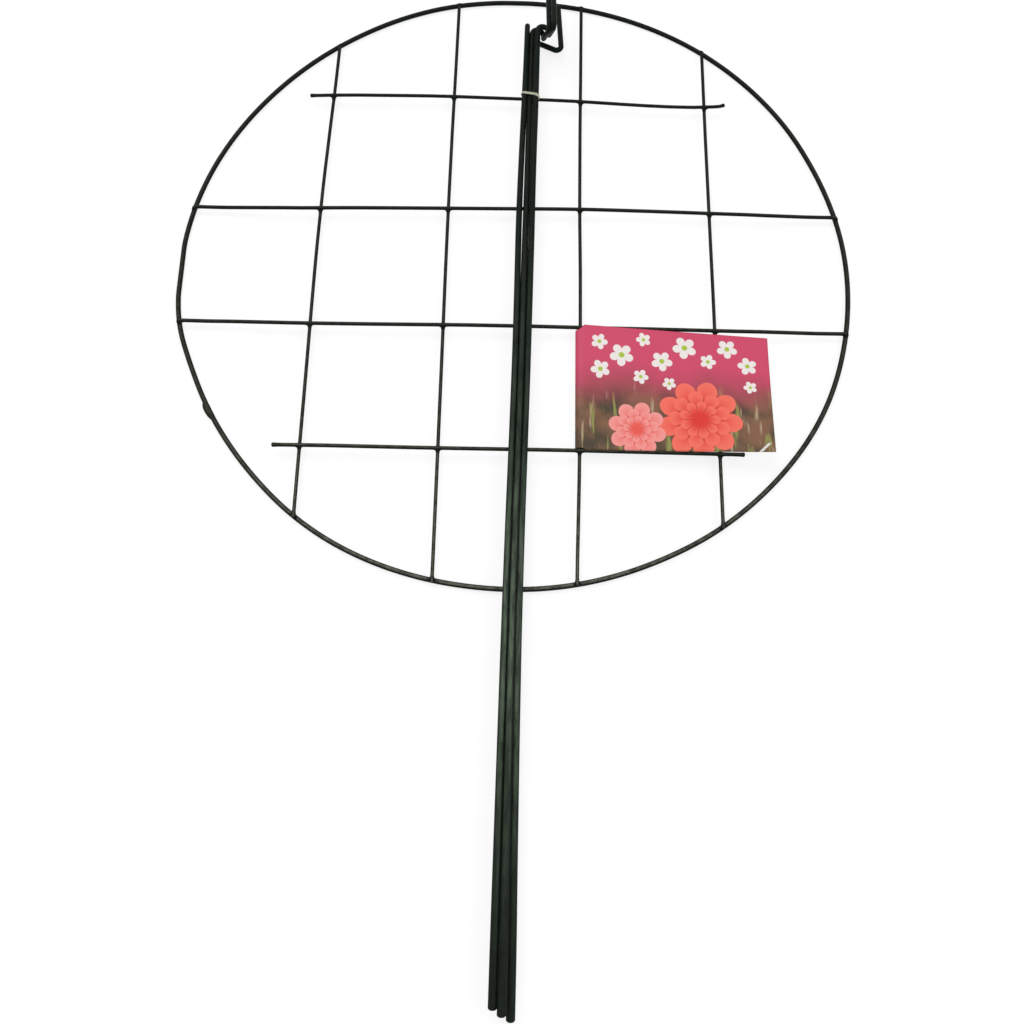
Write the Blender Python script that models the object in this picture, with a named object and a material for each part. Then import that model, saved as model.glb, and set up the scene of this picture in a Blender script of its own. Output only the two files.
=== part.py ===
"""Grow-through plant grid, flat-packed: a wire hoop with a welded grid, three hooked legs and a hang card.

Metres, +Z up from the surface the hoop lies on, +Y along the legs towards their hooks. Positions below
are from the hoop's centre; add_object moves everything so that the origin is under the bundle's middle.
Every wire is a solid round rod swept along its centreline.
"""
import math

import bmesh
import bpy
import numpy as np

GAP = 0.0003                 # air left between pieces that touch

HOOP_R = 0.2016              # centreline radius of the hoop
HOOP_WIRE = 0.0030
HOOP_SIDES = 16
HOOP_STEPS = 144
LAP_ANGLE = 207.6            # where the hoop's two ends lap, degrees from +X
LAP_LENGTH = 0.0105
LAP_WIRE = 0.0027
LAP_OFFSET = 0.0017          # the outer end sits this far outside the hoop's centreline

GRID_WIRE = 0.0020
GRID_SIDES = 12
PROUD = 0.0004               # bar ends stand past the hoop's outer edge by this
VERTICAL_X = (-0.1194, -0.0412, 0.0394, 0.1191)      # where each bar crosses Y = 0
VERTICAL_LEAN = (0.0120, 0.0050, 0.0035, -0.0040)    # its dx/dy
CROSS_Y = (0.1203, 0.0394, -0.0408, -0.1199)         # where each bar crosses X = 0
CROSS_LEAN = (0.0006, 0.0060, 0.0040, 0.0012)        # its dy/dx
SHORT_ENDS = ((-0.1330, 0.1312), (-0.1369, 0.1337))  # X of the ends of the two short bars
TIP_CURL = 0.0016            # the last 10 mm of the first bar's right end bends up this much

LEG_WIRE = 0.0034            # over the coating at the hook; the coating has run down and is thicker at the foot
FOOT_WIRE = 0.0044
LEG_SIDES = 14
CROOK_R = 0.00368            # centreline radius of the half-round crook
HOOK_REACH = 0.0220          # shaft axis to the hook's free arm at its foot
HOOK_DROP = 0.0118           # the hook's lowest centreline point, below the crook's centre
HOOK_TIP = 0.0225            # its free end, above the crook's centre
HOOK_LEAN = 0.0024           # the free arm leans in towards the shaft by this at its tip
ARM_LOW = 0.00498            # free arm's height behind the shaft at its foot
ARM_HIGH = 0.00437           # and at its tip
CROOK_BEND = 0.0026
HOOK_BEND = 0.0028
FOOT_CHAMFER = 0.0005

HEAD_Y = 0.1746              # crook centre of the left leg
FOOT_Y = -0.4191             # its foot
ROLLS = (0.0, 77.0, 76.6)    # each hook's turn about its shaft, left to right, in degrees

TIE_WIRE = 0.0014
TIE_SIDES = 10

CARD_T = 0.0004
CARD_WIDTH = 0.1123
FOLD_X = VERTICAL_X[2] - 0.00265      # the card's fold, just left of the third vertical bar
FOLD_TOP = CROSS_Y[2] - 0.0020        # the fold passes down between the third and fourth cross bars
FOLD_BOTTOM = CROSS_Y[3] + 0.0015
LEAF_TOP = CROSS_Y[2] + 0.0006        # the front leaf's top edge laps over the third cross bar
LEAF_FALL = 0.0062                    # and runs down this much to its right corner

HOOP_Z = HOOP_WIRE / 2
VERTICAL_Z = HOOP_WIRE + GAP + GRID_WIRE / 2
CROSS_Z = VERTICAL_Z + GRID_WIRE + GAP
LEG_Z = CROSS_Z + GRID_WIRE / 2 + GAP + LEG_WIRE / 2
LEG_PITCH = LEG_WIRE + 0.00041
LIFT = 0.00300               # the right leg's crook lies over the middle leg's, this much higher
LEFT_HEAD = (0.0042, HEAD_Y, LEG_Z)
MIDDLE_HEAD = (LEFT_HEAD[0] + LEG_PITCH, HEAD_Y - 0.0044, LEG_Z)
RIGHT_HEAD = (MIDDLE_HEAD[0] + LEG_PITCH + 0.00008, HEAD_Y - 0.0042, LEG_Z + LIFT)
SLOPE = (LIFT - 0.00036) / (HEAD_Y - CROSS_Y[3])     # the right leg comes down onto the fourth cross bar
FOOT_PITCH = FOOT_WIRE + 0.00008      # seen from above the feet just close up; the middle one rides higher
FOOT_RISE = (FOOT_WIRE - LEG_WIRE) / 2
LEFT_FOOT = (-0.0034, FOOT_Y, LEG_Z + FOOT_RISE)
MIDDLE_FOOT = (LEFT_FOOT[0] + FOOT_PITCH, FOOT_Y - 0.0031, LEG_Z + FOOT_RISE + 0.0018)
RIGHT_FOOT = (MIDDLE_FOOT[0] + FOOT_PITCH, FOOT_Y - 0.0054, LEG_Z - SLOPE * (CROSS_Y[3] - FOOT_Y + 0.0054))
FOLD_Z = VERTICAL_Z + 0.0013
CENTRE_Y = (HOOP_R + HOOP_WIRE / 2 + RIGHT_FOOT[1]) / 2   # middle of the whole bundle, moved onto the origin


def clear_scene():
    for item in list(bpy.data.objects):
        bpy.data.objects.remove(item, do_unlink=True)


def material(name, colour, roughness, metallic=0.0):
    mat = bpy.data.materials.new(name)
    mat.use_nodes = True
    shader = mat.node_tree.nodes["Principled BSDF"]
    shader.inputs["Base Color"].default_value = (*colour, 1.0)
    shader.inputs["Roughness"].default_value = roughness
    shader.inputs["Metallic"].default_value = metallic
    return mat


def add_object(name, verts, faces, mat):
    mesh = bpy.data.meshes.new(name)
    mesh.from_pydata([(v[0], v[1] - CENTRE_Y, v[2]) for v in verts], [], faces)
    bm = bmesh.new()
    bm.from_mesh(mesh)
    bmesh.ops.recalc_face_normals(bm, faces=bm.faces)
    bm.to_mesh(mesh)
    bm.free()
    mesh.materials.append(mat)
    obj = bpy.data.objects.new(name, mesh)
    bpy.context.scene.collection.objects.link(obj)
    return obj


def unit(v):
    return v / np.linalg.norm(v)


def section_frames(path, closed):
    """Tangent, side and up vectors along a path, carried along without twist from a start near +Z."""
    n = len(path)
    if closed:
        tangents = [unit(path[(i + 1) % n] - path[i - 1]) for i in range(n)]
    else:
        steps = [unit(b - a) for a, b in zip(path[:-1], path[1:])]
        tangents = [steps[0]] + [unit(a + b) for a, b in zip(steps[:-1], steps[1:])] + [steps[-1]]
    up = np.array([0.0, 0.0, 1.0])
    if abs(tangents[0] @ up) > 0.9:
        up = np.array([1.0, 0.0, 0.0])
    frames = []
    for t in tangents:
        side = unit(np.cross(t, up))
        up = np.cross(side, t)
        frames.append((side, up))
    return frames


def wire(name, path, diameter, sides, mat, closed=False, chamfer=0.0004, swell=None):
    """A round rod along a centreline. Its flats lie at the nominal radius times swell, one facing down."""
    path = [np.asarray(p, float) for p in path]
    radii = swell or [1.0] * len(path)
    if not closed:
        head = unit(path[1] - path[0])
        tail = unit(path[-1] - path[-2])
        inner_a = path[0] + head * chamfer
        inner_b = path[-1] - tail * chamfer
        path = [path[0], inner_a] + path[1:-1] + [inner_b, path[-1]]
        shrink = 1.0 - 2 * chamfer / diameter
        radii = [radii[0] * shrink] + radii + [radii[-1] * shrink]
    frames = section_frames(path, closed)
    corner = diameter / 2 / math.cos(math.pi / sides)
    angles = [2 * math.pi * (k + 0.5) / sides for k in range(sides)]
    verts = []
    for p, (side, up), k in zip(path, frames, radii):
        verts += [p + (side * math.sin(a) - up * math.cos(a)) * corner * k for a in angles]
    rings = len(path)
    faces = []
    for i in range(rings if closed else rings - 1):
        j = (i + 1) % rings
        for k in range(sides):
            m = (k + 1) % sides
            faces.append((i * sides + k, i * sides + m, j * sides + m, j * sides + k))
    if not closed:
        faces.append(tuple(range(sides)))
        faces.append(tuple((rings - 1) * sides + k for k in range(sides)))
    return add_object(name, verts, faces, mat)


def rounded(points, radii, steps=8):
    """The points joined by straight lines, each inner corner replaced by an arc of its radius."""
    points = [np.asarray(p, float) for p in points]
    out = [points[0]]
    for before, corner, after, radius in zip(points[:-2], points[1:-1], points[2:], radii):
        a = unit(before - corner)
        b = unit(after - corner)
        half = math.acos(np.clip(a @ b, -1, 1)) / 2
        centre = corner + unit(a + b) * radius / math.sin(half)
        start = corner + a * radius / math.tan(half) - centre
        end = corner + b * radius / math.tan(half) - centre
        sweep = math.pi - 2 * half
        for k in range(steps + 1):
            t = k / steps
            out.append(centre + (math.sin((1 - t) * sweep) * start + math.sin(t * sweep) * end) / math.sin(sweep))
    out.append(points[-1])
    return out


def bar_reach(offset):
    """Half-length of a bar at this distance from the centre that ends just past the hoop."""
    outer = HOOP_R + HOOP_WIRE / 2 + PROUD
    return math.sqrt(outer ** 2 - offset ** 2)


def build_hoop(mat):
    turns = [2 * math.pi * i / HOOP_STEPS for i in range(HOOP_STEPS)]
    path = [(HOOP_R * math.cos(a), HOOP_R * math.sin(a), HOOP_Z) for a in turns]
    hoop = wire("hoop", path, HOOP_WIRE, HOOP_SIDES, mat, closed=True)
    mid = math.radians(LAP_ANGLE)
    spread = LAP_LENGTH / HOOP_R
    radius = HOOP_R + LAP_OFFSET
    lap_path = [(radius * math.cos(mid + spread * (t - 0.5)), radius * math.sin(mid + spread * (t - 0.5)),
                 HOOP_Z + 0.0001) for t in np.linspace(0, 1, 7)]
    lap = wire("hoop_lap", lap_path, LAP_WIRE, HOOP_SIDES, mat, chamfer=0.0007)
    join = hoop.modifiers.new("weld the lapped ends", "BOOLEAN")
    join.operation = "UNION"
    join.solver = "EXACT"
    join.object = lap
    lap.hide_render = True
    lap.display_type = "WIRE"


def build_vertical_bars(mat):
    for i, (x, lean) in enumerate(zip(VERTICAL_X, VERTICAL_LEAN), 1):
        reach = bar_reach(x)
        ends = [(x + lean * y, y, VERTICAL_Z) for y in (-reach, 0.0, reach)]
        wire(f"vertical_bar_{i}", ends, GRID_WIRE, GRID_SIDES, mat)


def build_cross_bars(mat):
    drop = CROSS_Z - VERTICAL_Z
    for i, (y, lean) in enumerate(zip(CROSS_Y, CROSS_LEAN), 1):
        if i in (1, 4):
            left, right = SHORT_ENDS[0 if i == 1 else 1]
            xs = [left, 0.0, right - 0.010, right - 0.005, right]
            curl = TIP_CURL if i == 1 else 0.0
            lifts = [0.0, 0.0, 0.0, curl * 0.3, curl]
        else:
            reach = bar_reach(y)
            start = reach - 0.058
            finish = reach - 0.012
            steps = np.linspace(0, 1, 9)
            slope = [start + (finish - start) * t for t in steps]
            fall = [-drop * (0.5 - 0.5 * math.cos(math.pi * t)) for t in steps]
            xs = [-reach] + [-v for v in slope[::-1]] + slope + [reach]
            lifts = [-drop] + fall[::-1] + fall + [-drop]
        path = [(x, y + lean * x, CROSS_Z + lift) for x, lift in zip(xs, lifts)]
        wire(f"cross_bar_{i}", path, GRID_WIRE, GRID_SIDES, mat)


def leg_form(length):
    """A leg's centreline: straight shaft along +Y, half-round crook behind it, then the open hook.

    The crook bends over towards -Z and the hook opens towards +X.
    """
    half = np.linspace(0, math.pi, 13)
    crook = [np.array([0.0, CROOK_R * math.sin(t), CROOK_R * (math.cos(t) - 1)]) for t in half]
    leave = crook[-1] + np.array([0.0, -0.0022, 0.0])
    corner = np.array([HOOK_REACH + 0.0006, -HOOK_DROP - 0.0026, -ARM_LOW])
    tip = np.array([HOOK_REACH - HOOK_LEAN, HOOK_TIP, -ARM_HIGH])
    hook = rounded([crook[-1], leave, corner, tip], [CROOK_BEND, HOOK_BEND])
    return [np.array([0.0, -length, 0.0]), np.array([0.0, -length / 2, 0.0])] + crook + hook[1:]


def build_leg(name, head, foot, roll, mat):
    head = np.array(head)
    foot = np.array(foot)
    along = unit(head - foot)
    flat = unit(np.cross(along, np.array([0.0, 0.0, 1.0])))
    rise = np.cross(flat, along)
    a = math.radians(roll)
    out = math.cos(a) * flat + math.sin(a) * rise
    back = -math.sin(a) * flat + math.cos(a) * rise
    form = leg_form(np.linalg.norm(head - foot))
    path = [head + out * p[0] + along * p[1] + back * p[2] for p in form]
    foot_swell = FOOT_WIRE / LEG_WIRE
    swell = [foot_swell, (foot_swell + 1.0) / 2] + [1.0] * (len(path) - 2)
    wire(name, path, LEG_WIRE, LEG_SIDES, mat, chamfer=FOOT_CHAMFER, swell=swell)


def build_legs(mat):
    build_leg("leg_left", LEFT_HEAD, LEFT_FOOT, ROLLS[0], mat)
    build_leg("leg_middle", MIDDLE_HEAD, MIDDLE_FOOT, ROLLS[1], mat)
    build_leg("leg_right", RIGHT_HEAD, RIGHT_FOOT, ROLLS[2], mat)


def build_tie(mat):
    """An elastic cord over the three legs, down on their right, round the first cross bar and back under."""
    bar_y = CROSS_Y[0]
    bar_clear = GRID_WIRE / 2 + TIE_WIRE / 2 + GAP + 0.0001
    leg_clear = LEG_WIRE / 2 + TIE_WIRE / 2 + GAP + 0.0001
    left_x = LEFT_HEAD[0] - (LEFT_HEAD[0] - LEFT_FOOT[0]) * (HEAD_Y - bar_y) / (HEAD_Y - FOOT_Y)
    share = (HEAD_Y - bar_y) / (HEAD_Y - FOOT_Y)
    right_x = RIGHT_HEAD[0] - (RIGHT_HEAD[0] - RIGHT_FOOT[0]) * share
    right_z = RIGHT_HEAD[2] - (RIGHT_HEAD[2] - RIGHT_FOOT[2]) * share
    lean = math.degrees(math.atan2(right_z - LEG_Z, right_x - left_x)) + 90
    points = []
    for t in np.linspace(205, lean, 6):
        a = math.radians(t)
        points.append((left_x + leg_clear * math.cos(a), bar_y + 0.0032, LEG_Z + leg_clear * math.sin(a)))
    for t in np.linspace(lean, -25, 8):
        a = math.radians(t)
        points.append((right_x + leg_clear * math.cos(a), bar_y + 0.0024, right_z + leg_clear * math.sin(a)))
    side_x = right_x + leg_clear
    for t in np.linspace(60, -90, 8):
        a = math.radians(180 - t)
        points.append((side_x, bar_y + bar_clear * math.cos(a), CROSS_Z + bar_clear * math.sin(a)))
    under_z = CROSS_Z - bar_clear
    points.append((side_x - 0.0040, bar_y + 0.0006, under_z))
    points.append((left_x + 0.0012, bar_y + 0.0020, under_z + 0.0004))
    points.append((left_x - leg_clear * 0.95, bar_y + 0.0030, LEG_Z - leg_clear))
    pts = np.array(points)
    loop = np.vstack([pts, pts[:1]])
    along = np.concatenate([[0.0], np.cumsum(np.linalg.norm(np.diff(loop, axis=0), axis=1))])
    at = np.linspace(0, along[-1], 73)[:-1]
    path = np.stack([np.interp(at, along, loop[:, k]) for k in range(3)], axis=1)
    for _ in range(2):
        path = (np.roll(path, 1, axis=0) + 2 * path + np.roll(path, -1, axis=0)) / 4
    wire("bundle_tie", list(path), TIE_WIRE, TIE_SIDES, mat, closed=True)


def sheet(name, columns, mat):
    """A thin closed sheet from columns of (x, z, y_bottom, y_top), its thickness across the profile."""
    rows = 9
    profile = [np.array([c[0], c[1]]) for c in columns]
    steps = [unit(b - a) for a, b in zip(profile[:-1], profile[1:])]
    tangents = [steps[0]] + [unit(a + b) for a, b in zip(steps[:-1], steps[1:])] + [steps[-1]]
    verts = []
    for side in (-0.5, 0.5):
        for (x, z, low, high, *twist), t in zip(columns, tangents):
            nx, nz = -t[1] * CARD_T * side, t[0] * CARD_T * side
            extra = twist[0] if twist else 0.0
            for k in range(rows):
                f = k / (rows - 1)
                verts.append((x + nx, low + (high - low) * f, z + nz + extra * (1 - f) ** 1.5))
    n = len(columns)
    layer = n * rows

    def at(side, column, row):
        return side * layer + column * rows + row

    faces = []
    for c in range(n - 1):
        for r in range(rows - 1):
            faces.append((at(0, c, r), at(0, c + 1, r), at(0, c + 1, r + 1), at(0, c, r + 1)))
            faces.append((at(1, c, r), at(1, c, r + 1), at(1, c + 1, r + 1), at(1, c + 1, r)))
        for r in (0, rows - 1):
            faces.append((at(0, c, r), at(1, c, r), at(1, c + 1, r), at(0, c + 1, r)))
    for c in (0, n - 1):
        for r in range(rows - 1):
            faces.append((at(0, c, r), at(0, c, r + 1), at(1, c, r + 1), at(1, c, r)))
    return add_object(name, verts, faces, mat)


def build_card(mat):
    low, high = FOLD_BOTTOM, FOLD_TOP
    back_z = HOOP_WIRE - CARD_T / 2 - 0.0001
    back = [(FOLD_X + CARD_WIDTH * t, back_z, low, high) for t in (1.0, 0.72, 0.38)]
    back += [(FOLD_X + 0.0027, back_z, low, high), (FOLD_X + 0.0011, back_z + 0.0002, low, high),
             (FOLD_X + 0.0003, back_z + 0.0008, low, high), (FOLD_X, back_z + 0.0017, low, high),
             (FOLD_X, FOLD_Z - 0.0003, low, high)]
    sheet("card_back", back, mat)
    front_z = CROSS_Z + GRID_WIRE / 2 + 0.0006
    front = [(FOLD_X, FOLD_Z + 0.0003, low, high), (FOLD_X + 0.0001, front_z - 0.0015, low, high),
             (FOLD_X + 0.0006, front_z - 0.0006, low, high), (FOLD_X + 0.0016, front_z - 0.0001, low, high),
             (FOLD_X + 0.0034, front_z, low, high + 0.0007), (FOLD_X + 0.0050, front_z, low, LEAF_TOP)]
    start = FOLD_X + 0.0050
    for t in np.linspace(0, 1, 11)[1:]:
        x = start + (FOLD_X + CARD_WIDTH + 0.0004 - start) * t
        front.append((x, front_z + 0.0008 * t ** 2, low - 0.0034 * t ** 1.5, LEAF_TOP - LEAF_FALL * t, 0.0072 * t ** 2))
    sheet("card_front", front, mat)


def main():
    clear_scene()
    hoop_green = material("dark_green_hoop_coating", (0.012, 0.020, 0.016), 0.45)
    bar_green = material("dark_green_bar_coating", (0.014, 0.022, 0.017), 0.45)
    leg_green = material("dark_green_leg_coating", (0.016, 0.028, 0.020), 0.50)
    tie_cream = material("cream_elastic", (0.80, 0.76, 0.60), 0.80)
    card_print = material("printed_card", (0.62, 0.08, 0.22), 0.35)
    build_hoop(hoop_green)
    build_vertical_bars(bar_green)
    build_cross_bars(bar_green)
    build_legs(leg_green)
    build_tie(tie_cream)
    build_card(card_print)


main()
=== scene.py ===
"""A grow-through plant grid lying packed flat: hoop, welded grid, three bundled legs, tie and hang card.

Lengths are in metres. Each section is one kind of piece, in the order in which the support is put together.
Shapes are worked out around the hoop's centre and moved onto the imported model's hoop as they are made.
"""

import bpy
import numpy as np
from mathutils import Matrix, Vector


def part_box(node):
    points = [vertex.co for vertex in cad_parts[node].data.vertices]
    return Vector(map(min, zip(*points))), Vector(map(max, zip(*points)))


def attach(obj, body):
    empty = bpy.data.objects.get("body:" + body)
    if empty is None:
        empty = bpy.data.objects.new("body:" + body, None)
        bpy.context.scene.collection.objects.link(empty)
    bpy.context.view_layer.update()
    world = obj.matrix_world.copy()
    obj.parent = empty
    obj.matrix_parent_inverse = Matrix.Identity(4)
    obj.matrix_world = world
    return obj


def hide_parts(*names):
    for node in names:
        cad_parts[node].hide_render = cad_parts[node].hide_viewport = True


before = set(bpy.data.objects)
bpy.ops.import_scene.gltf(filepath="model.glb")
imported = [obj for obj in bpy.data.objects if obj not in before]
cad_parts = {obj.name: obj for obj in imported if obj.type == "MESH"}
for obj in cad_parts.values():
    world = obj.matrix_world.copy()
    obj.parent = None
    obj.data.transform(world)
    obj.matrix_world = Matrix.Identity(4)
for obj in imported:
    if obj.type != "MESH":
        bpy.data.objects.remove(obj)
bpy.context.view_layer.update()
hoop_low, hoop_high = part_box("hoop")
HOOP_CENTRE = np.array([0.0, (hoop_low[1] + hoop_high[1]) / 2, 0.0])


# Camera: a handheld-height view from the foot end, steep enough to look down through the grid.
CAMERA_AT = np.array([-0.00139, -0.40715, 0.68793])
LOOK_RIGHT = np.array([0.99976, 0.01918, 0.01085])
LOOK_DOWN = np.array([0.02174, -0.9389, -0.3435])
PIXELS_PER_WIDTH = 1293.39 / 1024

view_right = LOOK_RIGHT / np.linalg.norm(LOOK_RIGHT)
view_back = np.cross(LOOK_DOWN, view_right)
view_back = view_back / np.linalg.norm(view_back)
view_up = np.cross(view_back, view_right)
turned = np.eye(4)
turned[:3, :3] = np.stack([view_right, view_up, view_back], axis=1)
turned[:3, 3] = CAMERA_AT + HOOP_CENTRE
camera_data = bpy.data.cameras.new("photo_camera")
camera_data.sensor_width = 36.0
camera_data.lens = 36.0 * PIXELS_PER_WIDTH
camera_data.clip_start = 0.01
camera = bpy.data.objects.new("photo_camera", camera_data)
camera.matrix_world = Matrix(turned.tolist())
bpy.context.scene.collection.objects.link(camera)
bpy.context.scene.camera = camera


# Grid: a ring of 3 mm steel wire with four 2 mm wires spot-welded across it one way and four the other, then
# dipped as one in dark green plastic. The coating runs into every weld as a small smooth fillet, so this one
# section lays out every wire first, and then draws each wire's skin into its neighbours'.
HOOP_R = 0.2016
HOOP_WIRE = 0.0030
HOOP_Z = HOOP_WIRE / 2
LAYER_GAP = 0.0003

# The hoop's two ends lie side by side at the lap, one outside the other, where they are welded.
LAP_ANGLE = np.radians(-151.5)
LAP_BEFORE = 0.0030
LAP_AFTER = 0.0054
LAP_WIRE = 0.0026
LAP_OFFSET = 0.0013

# Bent by hand and pulled in by its welds, the ring isn't quite round: millimetres in or out every 8 degrees.
RING_OUT = (0.0, -0.2, -0.7, -0.85, -0.1, 0.2, 0.4, 0.6, 0.5, 0.25, 0.0, 0.0, 0.4, 0.8, 0.3, -0.6, -1.1, -1.45,
            -1.55, -1.15, -0.6, -0.1, 0.4, 0.9, 1.8, -0.5, -0.8, -0.9, -0.6, 0.4, 0.85, 0.65, 0.25, -0.1, 0.0,
            0.0, -0.1, -0.2, 0.35, 0.45, 0.7, 1.25, 1.35, 0.75, 0.2)
RING_PACE = 8
RING_EASE = 7.0


def eased(at, places, values, width):
    """Values at places along a piece: straight steps between the given ones, averaged over a width."""
    window = np.linspace(-width / 2, width / 2, 21)
    return np.interp(np.asarray(at)[:, None] + window, places, values).mean(axis=1)


turn = np.linspace(0.0, 2 * np.pi, 721)
ring_at = np.arange(-1, 48)
ring_out = 0.001 * np.take(RING_OUT, ring_at, mode="wrap")
ring_r = HOOP_R + eased(np.degrees(turn), ring_at * RING_PACE, ring_out, RING_EASE)
ring_r = np.minimum(ring_r, HOOP_R / np.maximum(np.abs(np.cos(turn)), np.sin(turn)))


def ring_radius(points):
    """The ring's radius at each point's angle: a circle's, with its bends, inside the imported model's box."""
    return np.interp(np.arctan2(points[:, 1], points[:, 0]) % (2 * np.pi), turn, ring_r)


def hoop_gap(points):
    """Height above the hoop's wire: distance to its ring, less the wire's half thickness."""
    sideways = np.hypot(points[:, 0], points[:, 1]) - ring_radius(points)
    return np.hypot(sideways, points[:, 2] - HOOP_Z) - HOOP_WIRE / 2


def lap_share(along_ring):
    """Place in the lapped end from -1 to 1, its thickest at 0: a short taper before it and a long one after."""
    return along_ring / np.where(along_ring < 0, LAP_BEFORE, LAP_AFTER)


def lap_gap(points):
    """Height above the lapped end: an egg drawn out along the ring, just outside the ring's wire.

    With k the length of (place / half length, away / half width) and m that of the same two divided once more
    by the half length and half width, the height is k * (k - 1) / m.
    """
    along_ring = (np.arctan2(points[:, 1], points[:, 0]) - LAP_ANGLE) * HOOP_R
    length = np.where(along_ring < 0, LAP_BEFORE, LAP_AFTER)
    sideways = np.hypot(points[:, 0], points[:, 1]) - ring_radius(points) - LAP_OFFSET
    away = np.hypot(sideways, points[:, 2] - HOOP_Z) / (LAP_WIRE / 2)
    k = np.hypot(lap_share(along_ring), away)
    m = np.hypot(lap_share(along_ring) / length, away / (LAP_WIRE / 2))
    return k * (k - 1.0) / np.maximum(m, 1e-6)


hoop_path = np.stack([ring_r * np.cos(turn), ring_r * np.sin(turn), np.full_like(turn, HOOP_Z)], axis=1)
lap_along = np.linspace(-LAP_BEFORE, LAP_AFTER, 25)
lap_turn = LAP_ANGLE + lap_along / HOOP_R
lap_r = ring_radius(np.stack([np.cos(lap_turn), np.sin(lap_turn)], axis=1)) + LAP_OFFSET
lap_path = np.stack([lap_r * np.cos(lap_turn), lap_r * np.sin(lap_turn), np.full_like(lap_turn, HOOP_Z)],
                    axis=1)
lap_round = np.sqrt(np.maximum(1.0 - lap_share(lap_along) ** 2, 0.0004)) - 1.0


def lap_beads(at):
    """What makes the lapped end an ellipse along the ring: half its width * (sqrt(1 - share squared) - 1)."""
    return LAP_WIRE / 2 * np.interp(at - LAP_BEFORE, lap_along, lap_round)


# Four vertical bars lie on the hoop. They lean and bend a little, and end just past its middle or short of it:
# bends are millimetres sideways at millimetres along the wire.
BAR_WIRE = 0.0020
BAR_COAT = 0.0021
BAR_Z = HOOP_WIRE + LAYER_GAP + BAR_WIRE / 2
BAR_X = (-0.1194, -0.0412, 0.0394, 0.1191)
BAR_LEAN = (0.0120, 0.0050, 0.0035, -0.0040)
BAR_BENDS = (
    ((-160, 0.0), (-140, -0.2), (-80, -0.6), (-20, -1.15), (10, -1.3), (60, -0.9), (80, -0.4), (100, 0.05),
     (120, 0.6), (140, 1.0), (160, 1.3)),
    ((-190, 0.0), (-120, -0.2), (-60, -0.4), (0, -0.7), (40, -0.75), (100, -0.55), (140, -0.2), (190, 0.1)),
    ((-190, -0.7), (-160, -0.2), (-140, 0.1), (-120, 0.3), (-40, 0.3), (0, 0.15), (40, -0.45), (100, -0.5),
     (140, -0.3), (190, -0.2)),
    ((-160, 0.25), (-120, 0.2), (-20, 0.2), (20, -0.05), (60, -0.25), (100, -0.45), (160, -0.5)),
)
BAR_PAST = ((0.0010, -0.0009), (0.0020, -0.0006), (0.0010, -0.0002), (0.0013, -0.0003))
BEND_EASE = 0.016


def bent(at, bends):
    """How far a wire strays from straight at places along it; bends are pairs of millimetres."""
    places, strays = np.array(bends).T * 0.001
    return eased(at, places, strays, BEND_EASE)


def bar_path(x, lean, bends, past):
    """A wire over the hoop: x at Y = 0 plus its lean times y plus its bends, out past the ring's middle."""
    ends = []
    for way, beyond in zip((-1.0, 1.0), past):
        y = way * np.sqrt(HOOP_R ** 2 - x ** 2)
        for _ in range(4):
            side = x + lean * y + bent([y], bends)[0]
            y = way * np.sqrt((ring_radius(np.array([[side, y]]))[0] + beyond) ** 2 - side ** 2)
        ends.append(y)
    y = np.linspace(*ends, 25)
    return np.stack([x + lean * y + bent(y, bends), y, np.full_like(y, BAR_Z)], axis=1)


# Four cross bars lie on the vertical ones. The two long ones dip to the hoop and are welded to it as well; the
# two short ones stop just past the outer bars, and the first has its right tip bent up.
CROSS_Z = BAR_Z + BAR_WIRE + LAYER_GAP
CROSS_Y = (0.1203, 0.0394, -0.0408, -0.1199)
CROSS_LEAN = (0.0006, 0.0060, 0.0040, 0.0012)
CROSS_COAT = (0.0021, 0.00225, 0.0023, 0.0023)
CROSS_BENDS = (
    ((-135, 0.1), (-110, 1.4), (-70, 1.95), (-50, 2.2), (-10, 1.5), (30, 0.7), (50, -0.2), (70, -1.3),
     (90, -2.1), (110, -2.4), (130, -1.0)),
    ((-200, 0.0), (-170, -0.4), (-150, -1.15), (-130, -1.15), (-110, -0.5), (-70, 0.1), (-30, 0.55), (0, 0.9),
     (30, 1.3), (50, 1.3), (90, 0.6), (130, -0.3), (150, -0.6), (170, 0.0), (200, 0.0)),
    ((-200, 1.2), (-170, 0.8), (-150, -0.2), (-130, -0.4), (-90, -0.25), (-50, 0.15), (-30, 0.35), (20, 0.3),
     (35, 0.0), (80, -0.1), (130, -0.55), (150, -0.5), (170, 0.1), (200, 0.3)),
    ((-137, 0.0), (-110, 0.25), (-50, 0.05), (30, 0.3), (80, 0.1), (134, -0.2)),
)
CROSS_PAST = 0.0004
DIP_START = 0.060
DIP_LENGTH = 0.046
CLOSE_STEPS = 0.066
WIDE_STEPS = 0.080
SHORT_ENDS = {1: (-0.1322, 0.1307), 4: (-0.1369, 0.1337)}
TIP_RISE = {1: 0.0018, 4: 0.0}
TIP_LENGTH = 0.0042


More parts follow.
